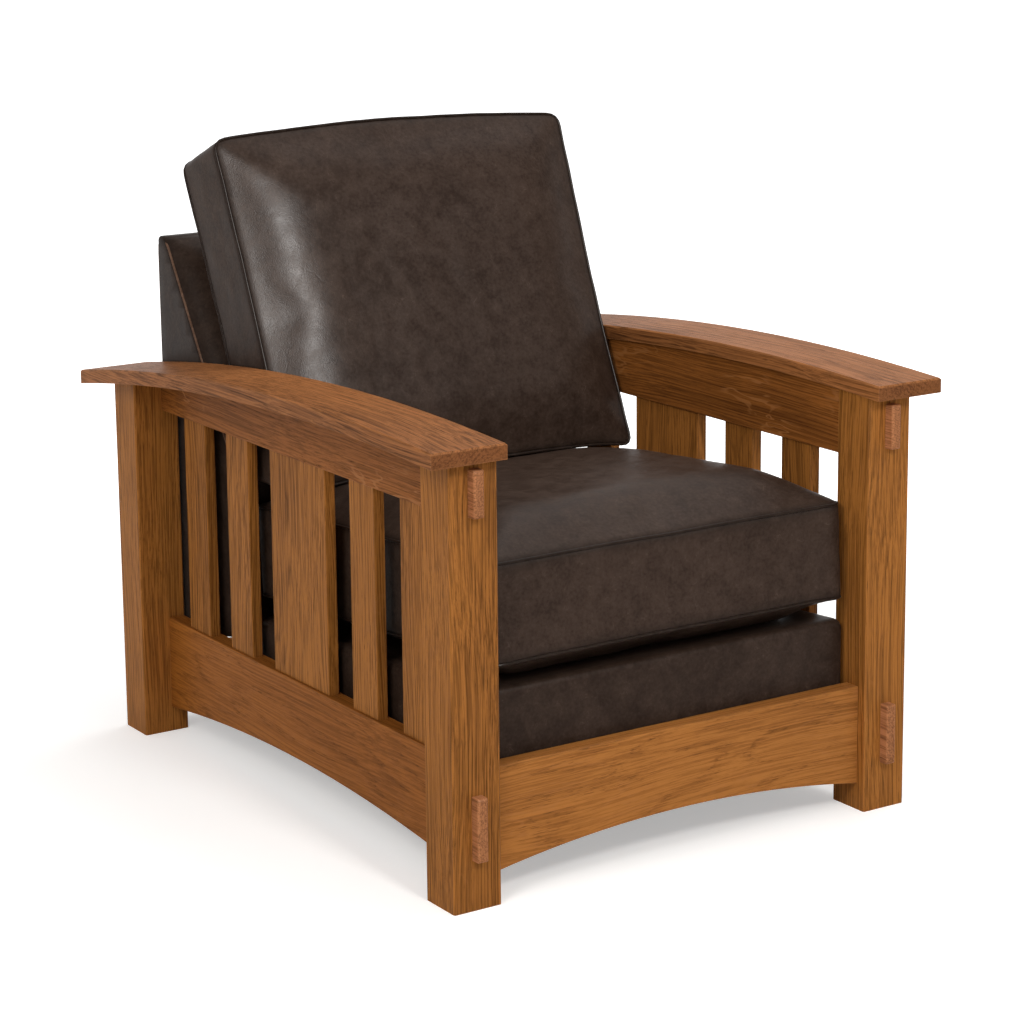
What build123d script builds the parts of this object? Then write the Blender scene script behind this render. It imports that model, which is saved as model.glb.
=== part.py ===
from build123d import *
import os
from math import cos, radians, sin, sqrt, tan

os.makedirs("parts", exist_ok=True)

# Mission armchair with a reclining back.
# X runs across the chair, Y from its front to its rear, Z up.
# The origin is on the floor, under the middle of the arms' length and width.

# Show wood frame
frame_width = 726.0
frame_depth = 925.0
post_width = 70.0
post_depth = 66.0
wood_edge = 2.0

# Bowed arms
arm_width = 108.0
arm_thickness = 20.0
arm_inner_overhang = 2.0
arm_front_overhang = 20.0
arm_rear_overhang = 36.0
arm_apex_height = 601.0
arm_apex_from_front = 245.0
arm_bow_radius = 4300.0

# Side, front and rear rails
rail_inset = 43.0
rail_thickness = 24.0
rail_bottom = 37.0
rail_top = 175.0
rail_arch_rise = 26.0
upper_rail_drop = 113.0
front_rail_recess = 15.0
rear_rail_recess = 6.0
rear_rail_top = 108.0
stub_length = 25.0
stub_thickness = 12.0
stub_shoulder = 12.0

# Slats: four narrow ones and a broad one in the middle of each side
slat_thickness = 16.0
slat_recess = 4.0
slat_width = 64.0
broad_slat_width = 152.0
slat_tongue = 9.0
slat_tongue_thickness = 10.0

# Square tenon ends that stand proud of the front posts
cap_width = 15.0
cap_proud = 15.0
cap_socket = 12.0
cap_edge = 2.5
upper_cap_drop = 98.0
upper_cap_height = 60.0
lower_cap_bottom = 66.0
lower_cap_height = 83.0

# Dowels that pin the arms to the posts
dowel_radius = 5.0
dowel_depth = 12.0
dowel_length_in_post = 28.0

# Seat deck, level below and falling towards the rear above
seat_tilt = 4.0
cleat_width = 30.0
cleat_height = 26.0
cleat_rear_gap = 13.5
deck_top = 265.0
deck_bottom = 152.0
deck_side_gap = 3.0
deck_front_gap = 1.5
deck_shaft_gap = 13.5
deck_rail_thickness = 22.0
deck_band_thickness = 6.0
deck_pad_thickness = 24.0
deck_corner = 14.0
cross_rail_height = 40.0
cross_rail_from_rear = 238.0

# Elastic webbing below the padding
webbing_width = 60.0
webbing_thickness = 2.0
webbing_end_margin = 4.0
seat_webbing_count = 6
back_webbing_count = 5

# Loose seat cushion
seat_cushion_side_gap = 7.0
seat_cushion_boxing = 141.0
seat_cushion_lower_crown = 25.0
seat_cushion_upper_crown = 46.0
seat_cushion_overhang = 12.0
seat_cushion_rear_overhang = 18.0
seat_lower_crown_run = 90.0
seat_upper_crown_run = 110.0
seat_crown_flat = 104.0
crown_steps = 5
cushion_corner = 26.0
cushion_drawn_in = 5.0

# Recline hinge, below the rear of the seat cushion
recline_range = 18.0
pivot_from_rear = 279.0
pivot_height = 172.0
shaft_radius = 8.0
shaft_running_gap = 0.05
shaft_end_gap = 1.0
bracket_thickness = 5.0
bracket_width = 56.0
bracket_height = 72.0
hinge_plate_thickness = 4.0
hinge_plate_width = 44.0
hinge_plate_height = 96.0
hinge_boss_radius = 14.0
hinge_strap_drop = 12.0
screw_radius = 2.2
screw_head_radius = 4.4
screw_head_height = 2.2

# Gas strut that carries the back up again
lever_length = 55.0
lever_thickness = 8.0
lever_tip_radius = 11.0
lever_root_radius = 15.0
strut_pin_radius = 4.0
strut_pin_gap = 0.6
strut_pin_head = 2.5
strut_eye_radius = 9.0
strut_fork_gap = 0.5
strut_fork_cheek = 4.0
strut_fork_length = 26.0
strut_rod_radius = 4.0
strut_rod_length = 128.0
strut_rod_gap = 0.05
strut_tube_radius = 11.0
strut_tube_bore = 8.5
strut_tube_cap = 12.0
strut_piston_length = 12.0
strut_piston_gap = 0.1
strut_bracket_thickness = 5.0
strut_bracket_width = 34.0

# Upholstered back
back_side_gap = 6.0
back_rear_gap = 5.0
back_top = 735.0
back_top_thickness = 22.0
back_slope = 32.5
back_foot_from_pivot = 19.0
back_foot_height = 184.0
back_heel_height = 140.0
back_tuck_height = 250.0
back_tuck_depth = 40.0
back_stile_thickness = 22.0
back_side_cover = 3.0
back_panel_thickness = 6.0
back_pad_thickness = 30.0
back_pad_crown = 26.8
back_pad_edge_run = 60.0
back_rail_thickness = 22.0
back_rail_height = 60.0

# Loose back cushion
back_cushion_side_gap = 6.5
back_cushion_height = 508.0
back_cushion_boxing = 126.0
back_cushion_front_crown = 24.0
back_cushion_rear_crown = 20.0
back_cushion_recline = 22.5
back_cushion_front_from_pivot = 123.0
back_cushion_top_bow = 16.0
back_cushion_side_bow = 3.0
back_cushion_settling = 20.0

# Reference planes worked out from the sizes above
overall_depth = frame_depth + arm_front_overhang + arm_rear_overhang
front_y = arm_front_overhang - overall_depth / 2
rear_y = front_y + frame_depth
front_post_rear_y = front_y + post_depth
rear_post_front_y = rear_y - post_depth
half_frame = frame_width / 2
post_inner_x = half_frame - post_width
post_mid_x = half_frame - post_width / 2
rail_outer_x = half_frame - rail_inset
rail_inner_x = rail_outer_x - rail_thickness
rail_mid_x = rail_outer_x - rail_thickness / 2
slat_outer_x = rail_outer_x - slat_recess
slat_mid_x = slat_outer_x - slat_thickness / 2
arm_inner_x = post_inner_x - arm_inner_overhang
arm_mid_x = arm_inner_x + arm_width / 2
arm_front_y = front_y - arm_front_overhang
arm_rear_y = rear_y + arm_rear_overhang
arm_apex_y = front_y + arm_apex_from_front
under_radius = arm_bow_radius - arm_thickness
under_apex = arm_apex_height - arm_thickness
upper_rail_bottom = arm_apex_height - upper_rail_drop
upper_cap_bottom = arm_apex_height - upper_cap_drop
pivot_y = rear_y - pivot_from_rear
deck_front_y = front_y + front_rail_recess + rail_thickness + deck_front_gap
deck_rear_y = pivot_y - shaft_radius - deck_shaft_gap
deck_depth = deck_rear_y - deck_front_y
deck_half = post_inner_x - deck_side_gap
seat_cushion_width = 2 * (deck_half - seat_cushion_side_gap)
seat_cushion_depth = seat_cushion_overhang + deck_depth + seat_cushion_rear_overhang
seat_rear_crown_run = seat_cushion_depth - seat_upper_crown_run - seat_crown_flat


def bow_height(y, apex, radius):
    """Height of a bowed face at depth y: an arc of the radius under its apex."""
    return apex - radius + sqrt(radius**2 - (y - arm_apex_y) ** 2)


def under_arm(y):
    return bow_height(y, under_apex, under_radius)


def arched_board(y0, y1, bottom, top, rise):
    """Outline of a rail with a straight top edge and an arched lower edge."""
    ThreePointArc((y0, bottom), ((y0 + y1) / 2, bottom + rise), (y1, bottom))
    Polyline((y1, bottom), (y1, top), (y0, top), (y0, bottom))


def bow_topped(y0, y1, bottom):
    """Outline whose top edge follows the underside of an arm."""
    ThreePointArc((y0, under_arm(y0)), ((y0 + y1) / 2, under_arm((y0 + y1) / 2)), (y1, under_arm(y1)))
    Polyline((y1, under_arm(y1)), (y1, bottom), (y0, bottom), (y0, under_arm(y0)))


def pillow(x0, x1, y0, y1, corner, side_bow, near_bow, far_bow):
    """Outline of a cushion section: rounded corners, and sides bowed out by these amounts."""
    mid_x, mid_y = (x0 + x1) / 2, (y0 + y1) / 2
    lean = corner * (1 - sqrt(0.5))
    ThreePointArc((x0 + corner, y0), (mid_x, y0 - near_bow), (x1 - corner, y0))
    ThreePointArc((x1 - corner, y0), (x1 - lean, y0 + lean), (x1, y0 + corner))
    ThreePointArc((x1, y0 + corner), (x1 + side_bow, mid_y), (x1, y1 - corner))
    ThreePointArc((x1, y1 - corner), (x1 - lean, y1 - lean), (x1 - corner, y1))
    ThreePointArc((x1 - corner, y1), (mid_x, y1 + far_bow), (x0 + corner, y1))
    ThreePointArc((x0 + corner, y1), (x0 + lean, y1 - lean), (x0, y1 - corner))
    ThreePointArc((x0, y1 - corner), (x0 - side_bow, mid_y), (x0, y0 + corner))
    ThreePointArc((x0, y0 + corner), (x0 + lean, y0 + lean), (x0 + corner, y0))


def hand_in(part, label):
    part.label = label
    export_step(part, f"parts/{label}.step")


sides = ((-1, "left"), (1, "right"))

# Front and rear posts, with their tops cut to the arm's bow
stub_x = rail_mid_x
cap_places = (
    ("upper", upper_cap_bottom, upper_cap_height),
    ("lower", lower_cap_bottom, lower_cap_height),
)
cross_rails = (
    ("front", front_y, front_y + front_rail_recess, rail_top),
    ("rear", rear_post_front_y, rear_y - rear_rail_recess - rail_thickness, rear_rail_top),
)
for side, hand in sides:
    for end, post_y, cross_y, cross_top in cross_rails:
        inward = post_depth if end == "front" else 0
        stub_y = post_y + inward - (stub_length / 2 if end == "front" else -stub_length / 2)
        cap_top_y = post_y + post_depth / 2
        with BuildPart() as post:
            with BuildSketch(Plane.YZ.offset(side * post_mid_x)):
                with BuildLine():
                    bow_topped(post_y, post_y + post_depth, 0)
                make_face()
            extrude(amount=post_width / 2, both=True)
            chamfer(post.edges().filter_by(Axis.Z), wood_edge)
            # sockets for the side rails' stub tenons
            for low, high in ((rail_bottom, rail_top), (upper_rail_bottom, under_arm(stub_y))):
                with BuildSketch(Plane.YZ.offset(side * stub_x)):
                    with Locations((stub_y, (low + high) / 2)):
                        Rectangle(stub_length, high - low - 2 * stub_shoulder)
                extrude(amount=stub_thickness / 2, both=True, mode=Mode.SUBTRACT)
            # socket for the front or rear rail's stub tenon
            with BuildSketch(Plane.XZ.offset(-cross_y - rail_thickness / 2)):
                with Locations((side * (post_inner_x + stub_length / 2), (rail_bottom + cross_top) / 2)):
                    Rectangle(stub_length, cross_top - rail_bottom - 2 * stub_shoulder)
            extrude(amount=stub_thickness / 2, both=True, mode=Mode.SUBTRACT)
            # hole for the arm's dowel
            dowel_floor = under_arm(cap_top_y) - dowel_length_in_post
            with BuildSketch(Plane.XY.offset(dowel_floor)):
                with Locations((side * post_mid_x, cap_top_y)):
                    Circle(dowel_radius)
            extrude(amount=dowel_length_in_post + arm_thickness, mode=Mode.SUBTRACT)
            if end == "front":
                # shallow sockets behind the proud tenon ends
                for _, low, height in cap_places:
                    with BuildSketch(Plane.XZ.offset(-front_y)):
                        with Locations((side * post_mid_x, low + height / 2)):
                            Rectangle(cap_width, height)
                    extrude(amount=-cap_socket, mode=Mode.SUBTRACT)
        hand_in(post.part, f"{end}_post_{hand}")

# Proud tenon ends, one pair at each rail
for level, low, height in cap_places:
    with BuildPart() as caps:
        with BuildSketch(Plane.XZ.offset(-front_y)):
            with Locations(*[(side * post_mid_x, low + height / 2) for side, _ in sides]):
                Rectangle(cap_width, height)
        extrude(amount=cap_proud)
        chamfer(caps.faces().sort_by(Axis.Y)[:2].edges(), cap_edge)
        with BuildSketch(Plane.XZ.offset(-front_y)):
            with Locations(*[(side * post_mid_x, low + height / 2) for side, _ in sides]):
                Rectangle(cap_width, height)
        extrude(amount=-cap_socket)
    hand_in(caps.part, f"{level}_tenon_ends")

# Bowed arms
for side, hand in sides:
    with BuildPart() as arm:
        with BuildSketch(Plane.YZ.offset(side * arm_mid_x)):
            with BuildLine():
                mid_y = (arm_front_y + arm_rear_y) / 2
                tops = [(y, bow_height(y, arm_apex_height, arm_bow_radius))
                        for y in (arm_front_y, mid_y, arm_rear_y)]
                unders = [(y, under_arm(y)) for y in (arm_rear_y, mid_y, arm_front_y)]
                ThreePointArc(*tops)
                Line(tops[-1], unders[0])
                ThreePointArc(*unders)
                Line(unders[-1], tops[0])
            make_face()
        extrude(amount=arm_width / 2, both=True)
        chamfer(arm.faces().sort_by(Axis.Z)[-1].edges(), wood_edge)
        for dowel_y in (front_y + post_depth / 2, rear_y - post_depth / 2):
            with BuildSketch(Plane.XY.offset(under_arm(dowel_y) + dowel_depth)):
                with Locations((side * post_mid_x, dowel_y)):
                    Circle(dowel_radius)
            extrude(amount=-dowel_depth - arm_thickness, mode=Mode.SUBTRACT)
    hand_in(arm.part, f"arm_{hand}")

# Dowels between the arms and the posts
with BuildPart() as dowels:
    for dowel_y in (front_y + post_depth / 2, rear_y - post_depth / 2):
        dowel_foot = under_arm(dowel_y) - dowel_length_in_post
        with BuildSketch(Plane.XY.offset(dowel_foot)):
            with Locations(*[(side * post_mid_x, dowel_y) for side, _ in sides]):
                Circle(dowel_radius)
        extrude(amount=dowel_length_in_post + dowel_depth)
hand_in(dowels.part, "arm_dowels")

# Slat places, counted from the front post to the rear post
slat_widths = (slat_width, slat_width, broad_slat_width, slat_width, slat_width)
side_bay = rear_post_front_y - front_post_rear_y
slat_gap = (side_bay - sum(slat_widths)) / (len(slat_widths) + 1)
slat_places = []
slat_start = front_post_rear_y + slat_gap
for width in slat_widths:
    slat_places.append((slat_start + width / 2, width))
    slat_start += width + slat_gap

# Upper side rails: straight below, bowed above
for side, hand in sides:
    with BuildPart() as upper_rail:
        with BuildSketch(Plane.YZ.offset(side * rail_mid_x)):
            with BuildLine():
                bow_topped(front_post_rear_y, rear_post_front_y, upper_rail_bottom)
            make_face()
        extrude(amount=rail_thickness / 2, both=True)
        for stub_y in (front_post_rear_y - stub_length / 2, rear_post_front_y + stub_length / 2):
            high = under_arm(stub_y)
            with BuildSketch(Plane.YZ.offset(side * rail_mid_x)):
                with Locations((stub_y, (upper_rail_bottom + high) / 2)):
                    Rectangle(stub_length, high - upper_rail_bottom - 2 * stub_shoulder)
            extrude(amount=stub_thickness / 2, both=True)
        for slat_y, width in slat_places:
            with BuildSketch(Plane.XY.offset(upper_rail_bottom)):
                with Locations((side * slat_mid_x, slat_y)):
                    Rectangle(slat_tongue_thickness, width)
            extrude(amount=slat_tongue, mode=Mode.SUBTRACT)
    hand_in(upper_rail.part, f"upper_rail_{hand}")

# Lower side rails: straight above, arched below
for side, hand in sides:
    with BuildPart() as lower_rail:
        with BuildSketch(Plane.YZ.offset(side * rail_mid_x)):
            with BuildLine():
                arched_board(front_post_rear_y, rear_post_front_y, rail_bottom, rail_top, rail_arch_rise)
            make_face()
        extrude(amount=rail_thickness / 2, both=True)
        for stub_y in (front_post_rear_y - stub_length / 2, rear_post_front_y + stub_length / 2):
            with BuildSketch(Plane.YZ.offset(side * rail_mid_x)):
                with Locations((stub_y, (rail_bottom + rail_top) / 2)):
                    Rectangle(stub_length, rail_top - rail_bottom - 2 * stub_shoulder)
            extrude(amount=stub_thickness / 2, both=True)
        for slat_y, width in slat_places:
            with BuildSketch(Plane.XY.offset(rail_top)):
                with Locations((side * slat_mid_x, slat_y)):
                    Rectangle(slat_tongue_thickness, width)
            extrude(amount=-slat_tongue, mode=Mode.SUBTRACT)
    hand_in(lower_rail.part, f"lower_rail_{hand}")

# Slats, with a thinner tongue in each rail
for side, hand in sides:
    for number, (slat_y, width) in enumerate(slat_places, start=1):
        with BuildPart() as slat:
            with BuildSketch(Plane.XY.offset(rail_top)):
                with Locations((side * slat_mid_x, slat_y)):
                    Rectangle(slat_thickness, width)
            extrude(amount=upper_rail_bottom - rail_top)
            chamfer(slat.edges().filter_by(Axis.Z), wood_edge / 2)
            with BuildSketch(Plane.XY.offset(rail_top - slat_tongue)):
                with Locations((side * slat_mid_x, slat_y)):
                    Rectangle(slat_tongue_thickness, width)
            extrude(amount=upper_rail_bottom - rail_top + 2 * slat_tongue)
        hand_in(slat.part, f"slat_{hand}_{number}")

# Front and rear rails between the posts
for end, _, cross_y, cross_top in cross_rails:
    with BuildPart() as cross_rail:
        with BuildSketch(Plane.XZ.offset(-cross_y - rail_thickness / 2)):
            with BuildLine():
                arched_board(-post_inner_x, post_inner_x, rail_bottom, cross_top, rail_arch_rise)
            make_face()
        extrude(amount=rail_thickness / 2, both=True)
        with BuildSketch(Plane.XZ.offset(-cross_y - rail_thickness / 2)):
            stub_mid_x = post_inner_x + stub_length / 2
            with Locations(*[(side * stub_mid_x, (rail_bottom + cross_top) / 2) for side, _ in sides]):
                Rectangle(stub_length, cross_top - rail_bottom - 2 * stub_shoulder)
        extrude(amount=stub_thickness / 2, both=True)
    hand_in(cross_rail.part, f"{end}_rail")

# Cleats that the seat deck stands on, and the screws that hold them to the side rails
cleat_length = deck_rear_y - cleat_rear_gap - front_post_rear_y
cleat_mid_x = rail_inner_x - cleat_width / 2
cleat_mid_y = front_post_rear_y + cleat_length / 2
cleat_mid_z = deck_bottom - cleat_height / 2
cleat_screw_ys = [cleat_mid_y + share * cleat_length for share in (-0.4, 0, 0.4)]
for side, hand in sides:
    with BuildPart() as cleat:
        with BuildSketch(Plane.XZ.offset(-front_post_rear_y)):
            with Locations((side * cleat_mid_x, cleat_mid_z)):
                Rectangle(cleat_width, cleat_height)
        extrude(amount=-cleat_length)
        with BuildSketch(Plane.YZ.offset(side * (rail_inner_x - cleat_width))):
            with Locations(*[(screw_y, cleat_mid_z) for screw_y in cleat_screw_ys]):
                Circle(screw_radius)
        extrude(amount=side * cleat_width, mode=Mode.SUBTRACT)
        chamfer(cleat.edges().filter_by(Axis.Y).sort_by(Axis.Z)[:2], wood_edge)
    hand_in(cleat.part, f"seat_cleat_{hand}")

# Seat deck frame
deck_frame_half = deck_half - deck_band_thickness
deck_frame_front_y = deck_front_y + deck_band_thickness
deck_inner_half = deck_frame_half - deck_rail_thickness
deck_inner_front_y = deck_frame_front_y + deck_rail_thickness
deck_inner_rear_y = deck_rear_y - deck_rail_thickness
tilt = radians(seat_tilt)


def tilted_plane(height):
    """Plane that falls towards the rear with the seat, from this height at the deck's front."""
    return Plane(origin=(0, deck_front_y, height), x_dir=(1, 0, 0), z_dir=(0, sin(tilt), cos(tilt)))


def deck_fall(y):
    return (y - deck_front_y) * tan(tilt)


def deck_board(y0, y1, bottom, top):
    """Corners of a board that is level below and falls with the deck above."""
    return [(y0, bottom), (y1, bottom), (y1, top - deck_fall(y1)), (y0, top - deck_fall(y0))]


deck_pad_bottom = deck_top - deck_pad_thickness
deck_rail_top = deck_pad_bottom - webbing_thickness
for end, rail_y in (("front", deck_frame_front_y), ("rear", deck_inner_rear_y)):
    with BuildPart() as deck_rail:
        with BuildSketch(Plane.YZ):
            Polygon(*deck_board(rail_y, rail_y + deck_rail_thickness, deck_bottom, deck_rail_top),
                    align=None)
        extrude(amount=deck_frame_half, both=True)
        chamfer(deck_rail.edges().filter_by(Axis.X), wood_edge / 2)
    hand_in(deck_rail.part, f"deck_rail_{end}")
for side, hand in sides:
    with BuildPart() as deck_rail:
        with BuildSketch(Plane.YZ.offset(side * deck_inner_half)):
            Polygon(*deck_board(deck_inner_front_y, deck_inner_rear_y, deck_bottom, deck_rail_top),
                    align=None)
        extrude(amount=side * deck_rail_thickness)
        chamfer(deck_rail.edges().filter_by(Axis.Y), wood_edge / 2)
    hand_in(deck_rail.part, f"deck_rail_{hand}")

# Cross rail below the webbing, which the gas strut pushes against
cross_rail_y = deck_rear_y - cross_rail_from_rear
with BuildPart() as deck_cross_rail:
    with BuildSketch(Plane.XY.offset(deck_bottom)):
        with Locations((0, cross_rail_y)):
            Rectangle(2 * deck_inner_half, deck_rail_thickness)
    extrude(amount=cross_rail_height)
    chamfer(deck_cross_rail.edges().filter_by(Axis.X), wood_edge / 2)
hand_in(deck_cross_rail.part, "deck_cross_rail")

# Webbing straps of the seat, from the front deck rail to the rear one
strap_length = deck_rear_y - deck_frame_front_y - 2 * webbing_end_margin
with BuildPart() as seat_webbing:
    with BuildSketch(tilted_plane(deck_rail_top)):
        with Locations((0, (deck_band_thickness + deck_depth) / 2 / cos(tilt))):
            with GridLocations(2 * deck_inner_half / seat_webbing_count, 0, seat_webbing_count, 1):
                Rectangle(webbing_width, strap_length)
    extrude(amount=webbing_thickness * cos(tilt))
hand_in(seat_webbing.part, "seat_webbing")

# Upholstery of the deck: a padded top over a front band and two side bands
with BuildPart() as deck_top_pad:
    with BuildSketch(Plane.YZ):
        Polygon((deck_front_y, deck_pad_bottom), (deck_rear_y, deck_pad_bottom - deck_fall(deck_rear_y)),
                (deck_rear_y, deck_top - deck_fall(deck_rear_y)), (deck_front_y, deck_top), align=None)
    extrude(amount=deck_half, both=True)
    fillet(deck_top_pad.edges().filter_by(Axis.Z).sort_by(Axis.Y)[:2], deck_corner)
    tilted_faces = deck_top_pad.faces().filter_by(tilted_plane(deck_top))
    fillet(tilted_faces.sort_by(Axis.Z)[-1].edges(), deck_corner)
hand_in(deck_top_pad.part, "deck_top_pad")

band_rear_y = deck_front_y + deck_corner
with BuildPart() as deck_band_front:
    with BuildSketch(Plane.YZ):
        Polygon(*deck_board(deck_front_y, band_rear_y, deck_bottom, deck_pad_bottom), align=None)
    extrude(amount=deck_half, both=True)
    fillet(deck_band_front.edges().filter_by(Axis.Z).sort_by(Axis.Y)[:2], deck_corner * 0.9)
    with BuildSketch(Plane.XY.offset(deck_bottom)):
        with Locations((0, deck_frame_front_y + deck_corner / 2)):
            Rectangle(2 * deck_frame_half, deck_corner)
    extrude(amount=deck_pad_bottom - deck_bottom, mode=Mode.SUBTRACT)
hand_in(deck_band_front.part, "deck_band_front")
for side, hand in sides:
    with BuildPart() as deck_band:
        with BuildSketch(Plane.YZ.offset(side * deck_frame_half)):
            Polygon(*deck_board(band_rear_y, deck_rear_y, deck_bottom, deck_pad_bottom), align=None)
        extrude(amount=side * deck_band_thickness)
    hand_in(deck_band.part, f"deck_band_{hand}")

# Loose seat cushion: boxed, crowned above and below, lying on the tilted deck.
# Its upper crown falls off more gently at the rear, where the back cushion presses on it.
seat_rear = seat_cushion_depth - seat_cushion_overhang
seam_low = seat_cushion_lower_crown
seam_high = seam_low + seat_cushion_boxing
crown_shares = [step / crown_steps for step in range(1, crown_steps + 1)]
crown_rise_shares = [1 - (1 - share) ** 2 for share in crown_shares]
seam_middle = (seam_low + seam_high) / 2
seat_stations = [(seam_low, 0, 0), (seam_middle, -cushion_drawn_in / 2, 0), (seam_high, 0, 0)]
for share, rise_share in zip(crown_shares, crown_rise_shares):
    under = seat_lower_crown_run * share
    seat_stations.insert(0, (seam_low - seat_cushion_lower_crown * rise_share, under, under))
    seat_stations.append((seam_high + seat_cushion_upper_crown * rise_share,
                          seat_upper_crown_run * share, seat_rear_crown_run * share))
with BuildPart() as seat_cushion:
    for height, inset, rear_inset in seat_stations:
        with BuildSketch(tilted_plane(deck_top).offset(height)):
            with BuildLine():
                pillow(inset - seat_cushion_width / 2, seat_cushion_width / 2 - inset,
                       inset - seat_cushion_overhang, seat_rear - rear_inset,
                       cushion_corner, -cushion_drawn_in, -cushion_drawn_in, -cushion_drawn_in)
            make_face()
    loft(ruled=True)
hand_in(seat_cushion.part, "seat_cushion")

# Brackets on the side rails that carry the recline shaft
shaft_half = rail_inner_x - shaft_end_gap
bracket_screw_z = pivot_height - bracket_height * 0.55
for side, hand in sides:
    with BuildPart() as bracket:
        with BuildSketch(Plane.YZ.offset(side * rail_inner_x)):
            with Locations((pivot_y, pivot_height - bracket_height / 4)):
                RectangleRounded(bracket_width, bracket_height, hinge_boss_radius / 2)
            with Locations((pivot_y, pivot_height)):
                Circle(shaft_radius + shaft_running_gap, mode=Mode.SUBTRACT)
            with Locations((pivot_y - bracket_width * 0.3, bracket_screw_z),
                           (pivot_y + bracket_width * 0.3, bracket_screw_z)):
                Circle(screw_radius, mode=Mode.SUBTRACT)
        extrude(amount=-side * bracket_thickness)
    hand_in(bracket.part, f"pivot_bracket_{hand}")


# Screws of the brackets and cleats: a pan head and a plain shank
frame_screw_places = []
for side, _ in sides:
    bracket_face_x = side * (rail_inner_x - bracket_thickness)
    cleat_face_x = side * (rail_inner_x - cleat_width)
    for place_y in (pivot_y - bracket_width * 0.3, pivot_y + bracket_width * 0.3):
        head = Plane(origin=(bracket_face_x, place_y, bracket_screw_z), z_dir=(-side, 0, 0))
        frame_screw_places.append((head, bracket_thickness))
    for place_y in cleat_screw_ys:
        head = Plane(origin=(cleat_face_x, place_y, cleat_mid_z), z_dir=(-side, 0, 0))
        frame_screw_places.append((head, cleat_width))
with BuildPart() as frame_screws:
    for head, grip in frame_screw_places:
        with BuildSketch(head):
            Circle(screw_head_radius)
        extrude(amount=screw_head_height)
        with BuildSketch(head):
            Circle(screw_radius)
        extrude(amount=-grip)
hand_in(frame_screws.part, "frame_screws")

# Recline shaft, across the chair below the seat cushion
with BuildPart() as recline_shaft:
    with BuildSketch(Plane.YZ.offset(-shaft_half)):
        with Locations((pivot_y, pivot_height)):
            Circle(shaft_radius)
    extrude(amount=2 * shaft_half)
    chamfer(recline_shaft.edges().filter_by(GeomType.CIRCLE), shaft_radius * 0.1)
hand_in(recline_shaft.part, "recline_shaft")

# Lever in the middle of the shaft; it leans back by half the recline range
lever_lean = radians(recline_range / 2)
pin_y = pivot_y + lever_length * sin(lever_lean)
pin_z = pivot_height - lever_length * cos(lever_lean)
with BuildPart() as recline_lever:
    with BuildSketch(Plane.YZ.offset(-lever_thickness / 2)):
        with BuildLine():
            lever_dir = Vector(sin(lever_lean), -cos(lever_lean))
            across = Vector(cos(lever_lean), sin(lever_lean))
            root = Vector(pivot_y, pivot_height)
            tip = root + lever_dir * lever_length
            corners = [root - across * lever_root_radius, tip - across * lever_tip_radius,
                       tip + across * lever_tip_radius, root + across * lever_root_radius]
            Line(corners[0], corners[1])
            ThreePointArc(corners[1], tip + lever_dir * lever_tip_radius, corners[2])
            Line(corners[2], corners[3])
            ThreePointArc(corners[3], root - lever_dir * lever_root_radius, corners[0])
        make_face()
        with Locations((pivot_y, pivot_height)):
            Circle(shaft_radius, mode=Mode.SUBTRACT)
        with Locations((pin_y, pin_z)):
            Circle(strut_pin_radius, mode=Mode.SUBTRACT)
    extrude(amount=lever_thickness)
hand_in(recline_lever.part, "recline_lever")

# Pin through the lever's tip and the strut's fork
fork_half = lever_thickness / 2 + strut_fork_gap + strut_fork_cheek
with BuildPart() as strut_pin:
    with BuildSketch(Plane.YZ.offset(-fork_half - strut_fork_gap)):
        with Locations((pin_y, pin_z)):
            Circle(strut_pin_radius)
    extrude(amount=2 * (fork_half + strut_fork_gap))
    for step in (-1, 1):
        with BuildSketch(Plane.YZ.offset(step * (fork_half + strut_fork_gap))):
            with Locations((pin_y, pin_z)):
                Circle(strut_pin_radius * 1.6)
        extrude(amount=step * strut_pin_head)
hand_in(strut_pin.part, "strut_pin")

# Gas strut: the rod and its fork slide in the tube below the deck
strut_axis_z = pivot_height - lever_length * (1 + cos(lever_lean)) / 2
strut_axis = Plane(origin=(0, pin_y, strut_axis_z), x_dir=(1, 0, 0), z_dir=(0, -1, 0))
strut_travel = 2 * lever_length * sin(lever_lean)
piston_end = strut_eye_radius + strut_fork_length + strut_rod_length
with BuildPart() as strut_rod:
    # fork: two cheeks beside the lever, joined by a block in front of its tip
    with BuildSketch(Plane.YZ.offset(-fork_half)):
        with Locations((pin_y - strut_fork_length / 2, strut_axis_z)):
            Rectangle(strut_fork_length, 2 * strut_eye_radius)
        with Locations((pin_y, strut_axis_z)):
            Circle(strut_eye_radius)
    extrude(amount=2 * fork_half)
    with BuildSketch(Plane.YZ.offset(-lever_thickness / 2 - strut_fork_gap)):
        with Locations((pin_y, strut_axis_z)):
            Rectangle(2 * (lever_tip_radius + strut_eye_radius * 0.4), 4 * strut_eye_radius)
    extrude(amount=lever_thickness + 2 * strut_fork_gap, mode=Mode.SUBTRACT)
    with BuildSketch(Plane.YZ.offset(-fork_half)):
        with Locations((pin_y, strut_axis_z)):
            Circle(strut_pin_radius + strut_pin_gap)
    extrude(amount=2 * fork_half, mode=Mode.SUBTRACT)
    with BuildSketch(strut_axis.offset(strut_fork_length)):
        Circle(strut_rod_radius)
    extrude(amount=piston_end - strut_fork_length)
    with BuildSketch(strut_axis.offset(piston_end)):
        Circle(strut_tube_bore - strut_piston_gap)
    extrude(amount=strut_piston_length)
hand_in(strut_rod.part, "strut_rod")

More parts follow.
